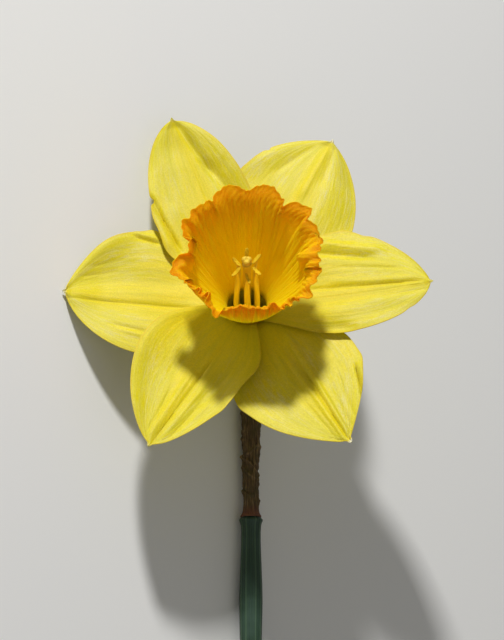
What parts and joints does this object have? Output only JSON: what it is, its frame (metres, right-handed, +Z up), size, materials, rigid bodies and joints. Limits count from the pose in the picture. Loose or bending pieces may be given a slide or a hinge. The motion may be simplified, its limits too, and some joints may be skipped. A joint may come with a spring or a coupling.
{
  "type": "daffodil flower",
  "caption": "Picked trumpet daffodil in full bloom, yellow petals round a frilled orange trumpet, lying on its stalk and one petal tip, for a vase, bunch or garden scene",
  "frame": {"origin": "middle of the bounding box's base, on the surface that the flower lies on", "axes": "+X runs from the flower's head along the stalk to its cut end, +Z is up, and the trumpet faces -Y and upwards"},
  "size_m": [0.2796, 0.0792, 0.0625],
  "materials": {
    "trumpet_orange": "satin",
    "petal_yellow": "satin",
    "sepal_yellow": "satin",
    "tube_green_yellow": "satin",
    "ovary_green": "satin",
    "stamen_gold": "satin",
    "anther_pollen": "matte",
    "papery_brown": "matte",
    "stalk_green": "satin"
  },
  "bodies": {
    "root": {"corona": "trumpet_orange", "petal_upper_left": "petal_yellow", "petal_right": "petal_yellow", "petal_lower_left": "petal_yellow", "sepal_upper_right": "sepal_yellow", "sepal_left": "sepal_yellow", "sepal_lower_right": "sepal_yellow", "floral_tube": "tube_green_yellow", "ovary": "ovary_green", "style": "stamen_gold", "stigma": "stamen_gold", "filament_1": "stamen_gold", "filament_2": "stamen_gold", "filament_3": "stamen_gold", "filament_4": "stamen_gold", "filament_5": "stamen_gold", "filament_6": "stamen_gold", "anther_1": "anther_pollen", "anther_2": "anther_pollen", "anther_3": "anther_pollen", "anther_4": "anther_pollen", "anther_5": "anther_pollen", "anther_6": "anther_pollen", "pedicel": "ovary_green", "spathe": "papery_brown", "scape": "stalk_green"}
  },
  "joints": []
}
